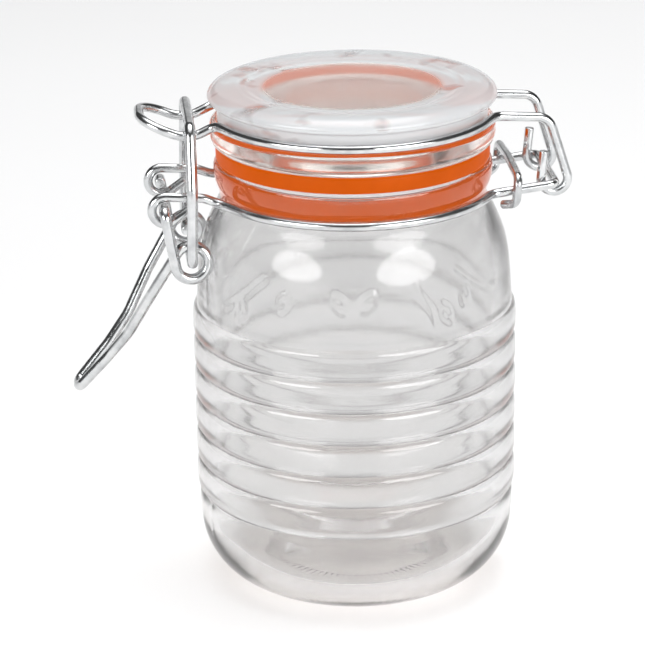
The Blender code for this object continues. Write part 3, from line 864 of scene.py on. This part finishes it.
def lever_path():
    """Half of the lever: thumb tip, handle arm, one coil, crank and the pin in the eye."""
    handle = [mm(-51.6, -1.9, 39.2), mm(-45.8, -3.4, 45.8), mm(-42.0, -5.0, 50.8), mm(-37.8, -7.6, 58.7)]
    coil_out = tangent_angle(COIL_CENTRE, COIL_RADIUS, (handle[-1].x, handle[-1].z), -1)
    coil_in = tangent_angle(COIL_CENTRE, COIL_RADIUS, LEVER_AXIS, 1)
    coil = arc_in_xz(COIL_CENTRE, COIL_RADIUS, coil_out + 2 * pi, coil_in, -COIL_END_Y, -CRANK_Y)
    arm = bent_path([
        (mm(-51.6, 0.0, 39.2), 0.0),
        (handle[0], 1.5 * MM),
        (handle[1], 12.0 * MM),
        (handle[2], 12.0 * MM),
        (handle[3], 8.0 * MM),
        (coil[0], 0.0),
    ])
    crank = bent_path([
        (coil[-1], 0.0),
        (Vector((LEVER_AXIS[0], -CRANK_Y, LEVER_AXIS[1])), 1.5 * MM),
        (Vector((LEVER_AXIS[0], -7.4 * MM, LEVER_AXIS[1])), 0.0),
    ])
    return arm[:-1] + coil + crank[1:]


def without_repeats(points):
    kept = [points[0]]
    for point in points[1:]:
        if (point - kept[-1]).length > 0.02 * MM:
            kept.append(point)
    return kept


def rounded_ends(points, radius):
    """(centre, ring radius) pairs: the path with a small worn round on each cut end."""
    edge = WORN_EDGE * radius
    first, last = (points[1] - points[0]).normalized(), (points[-1] - points[-2]).normalized()
    start, end = [], []
    for k in range(WORN_STEPS):
        a = pi / 2 * k / WORN_STEPS
        inset, ring_radius = edge * (1 - cos(a)), radius - edge * (1 - sin(a))
        start.append((points[0] + first * inset, ring_radius))
        end.append((points[-1] - last * inset, ring_radius))
    middle = [points[0] + first * edge] + points[1:-1] + [points[-1] - last * edge]
    return start + [(point, radius) for point in middle] + end[::-1]


def sweep(name, points, radius):
    """A solid round wire along the points; its UVs are the share round it and the metres along it."""
    rings = rounded_ends(without_repeats(points), radius)
    centres = [p for p, _ in rings]
    verts, lengths, travelled = [], [], 0.0
    tangent = (centres[4] - centres[2]).normalized()
    side = tangent.orthogonal().normalized()
    for i, (centre, ring_radius) in enumerate(rings):
        ahead = (centres[min(i + 1, len(rings) - 1)] - centre)
        behind = (centre - centres[max(i - 1, 0)])
        direction = ahead.normalized() + behind.normalized()
        if direction.length > 1e-6:
            side = (tangent.rotation_difference(direction.normalized())) @ side
            tangent = direction.normalized()
        other = tangent.cross(side)
        travelled += behind.length
        lengths.append(travelled)
        for k in range(WIRE_SIDES):
            a = 2 * pi * k / WIRE_SIDES
            verts.append(centre + ring_radius * (side * cos(a) + other * sin(a)))
    faces, uvs = [], []
    for i in range(len(rings) - 1):
        for k in range(WIRE_SIDES):
            n = (k + 1) % WIRE_SIDES
            here, there = i * WIRE_SIDES, (i + 1) * WIRE_SIDES
            faces.append((here + k, here + n, there + n, there + k))
            u0, u1 = k / WIRE_SIDES, (k + 1) / WIRE_SIDES
            uvs += [(u0, lengths[i]), (u1, lengths[i]), (u1, lengths[i + 1]), (u0, lengths[i + 1])]
    last = (len(rings) - 1) * WIRE_SIDES
    faces.append(tuple(reversed(range(WIRE_SIDES))))
    faces.append(tuple(range(last, last + WIRE_SIDES)))
    around = [2 * pi * k / WIRE_SIDES for k in range(WIRE_SIDES)]
    uvs += 2 * [(0.5 + 0.3 * cos(a), 1.0 * MM * sin(a)) for a in around]
    mesh = bpy.data.meshes.new(name)
    mesh.from_pydata(verts, [], faces)
    layer = mesh.uv_layers.new(name="wire")
    layer.data.foreach_set("uv", [value for uv in uvs for value in uv])
    mesh.shade_smooth()
    mesh.set_sharp_from_angle(angle=radians(50))
    obj = bpy.data.objects.new(name, mesh)
    bpy.context.scene.collection.objects.link(obj)
    return obj


def build_wires():
    rows = [
        ("lid_frame_wire", "lid_wire", "lid", lid_wire_path(), FRAME_WIRE_RADIUS),
        ("neck_frame_wire", "neck_wire", "jar", neck_wire_path(), FRAME_WIRE_RADIUS),
        ("neck_tie_wire", "neck_wire_tie", "jar", tie_path(), TIE_WIRE_RADIUS),
        ("bail_link_wire", "bail_link", "link", link_path(), LATCH_WIRE_RADIUS),
        ("lever_wire", "lever", "lever", lever_path(), LATCH_WIRE_RADIUS),
    ]
    for seed, (name, node, body, half, radius) in enumerate(rows):
        wire = sweep(name, mirrored_path(half), radius)
        wire.data.materials.append(steel_material(name + "_plating", seed))
        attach(wire, body)
        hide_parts(node)


# ---------------------------------------------------------------- studio

def build_floor():
    count = FLOOR_CELLS + 1
    lines = [(i / FLOOR_CELLS - 0.5) * FLOOR_SIZE for i in range(count)]
    points = [(x, y, 0.0) for y in lines for x in lines]
    faces = []
    for k in range(FLOOR_CELLS):
        for i in range(FLOOR_CELLS):
            first = k * count + i
            faces.append((first, first + 1, first + count + 1, first + count))
    mesh = bpy.data.meshes.new("studio_floor")
    mesh.from_pydata(points, [], faces)
    floor = bpy.data.objects.new("studio_floor", mesh)
    floor.location.z = -FLOOR_DROP
    bpy.context.scene.collection.objects.link(floor)
    floor.data.materials.append(floor_material())


def build_world():
    """White at the horizon and overhead, with a dark band between, which edges the glass and the wires."""
    world = bpy.data.worlds.new("studio")
    bpy.context.scene.world = world
    world.use_nodes = True
    tree = world.node_tree
    coordinates = tree.nodes.new("ShaderNodeTexCoord")
    split = tree.nodes.new("ShaderNodeSeparateXYZ")
    ramp = tree.nodes.new("ShaderNodeValToRGB")
    background = tree.nodes["Background"]
    elements = ramp.color_ramp.elements
    while len(elements) < len(WORLD_STOPS):
        elements.new(0.5)
    for element, (position, grey) in zip(elements, WORLD_STOPS):
        element.position = position
        element.color = (grey, grey, grey * 1.01, 1.0)
    tree.links.new(coordinates.outputs["Generated"], split.inputs["Vector"])
    tree.links.new(split.outputs["Z"], ramp.inputs["Fac"])
    tree.links.new(ramp.outputs["Color"], background.inputs["Color"])
    background.inputs["Strength"].default_value = WORLD_STRENGTH


def add_softbox(name, azimuth, elevation, distance, size, watts):
    """A round soft lamp aimed at the jar; azimuth in degrees from the front towards the hinge side."""
    light = bpy.data.lights.new(name, "AREA")
    light.shape = "ELLIPSE"
    light.size, light.size_y = size
    light.energy = watts
    lamp = bpy.data.objects.new(name, light)
    around, up = radians(azimuth), radians(elevation)
    outward = Vector((sin(around) * cos(up), -cos(around) * cos(up), sin(up)))
    lamp.location = Vector((0.0, 0.0, LID_TOP_Z / 2)) + distance * outward
    lamp.rotation_mode = "QUATERNION"
    lamp.rotation_quaternion = (-outward).to_track_quat("-Z", "Y")
    lamp.visible_camera = False
    bpy.context.scene.collection.objects.link(lamp)
    return lamp


def build_lights():
    for softbox in SOFTBOXES:
        add_softbox(*softbox)
    sheen = add_softbox(*SHEEN_BOX)
    sheen.visible_transmission = False    # it only gives reflections


def build_camera():
    azimuth, elevation = radians(CAMERA_AZIMUTH), radians(CAMERA_ELEVATION)
    back = Vector((-sin(azimuth) * cos(elevation), -cos(azimuth) * cos(elevation), sin(elevation)))
    data = bpy.data.cameras.new("camera")
    data.sensor_width = CAMERA_SENSOR
    data.lens = CAMERA_LENS
    data.clip_start = 0.01
    data.clip_end = 50.0
    camera = bpy.data.objects.new("camera", data)
    camera.location = Vector(CAMERA_AIM) + back * CAMERA_DISTANCE
    camera.rotation_mode = "QUATERNION"
    roll = Quaternion((0.0, 0.0, 1.0), radians(-CAMERA_ROLL))
    camera.rotation_quaternion = (-back).to_track_quat("-Z", "Y") @ roll
    bpy.context.scene.collection.objects.link(camera)
    bpy.context.scene.camera = camera


def set_light_paths():
    scene = bpy.context.scene
    scene.view_settings.view_transform = "Standard"
    scene.view_settings.look = "None"
    scene.cycles.use_denoising = True
    scene.cycles.max_bounces = 26
    scene.cycles.transmission_bounces = 24
    scene.cycles.glossy_bounces = 10
    scene.cycles.diffuse_bounces = 4
    scene.cycles.blur_glossy = 0.3
    scene.cycles.sample_clamp_indirect = 6.0


build_camera()
build_world()
build_lights()
build_floor()
set_light_paths()
build_jar(jar_material())
build_lid(lid_material())
build_gasket(rubber_material())
build_wires()
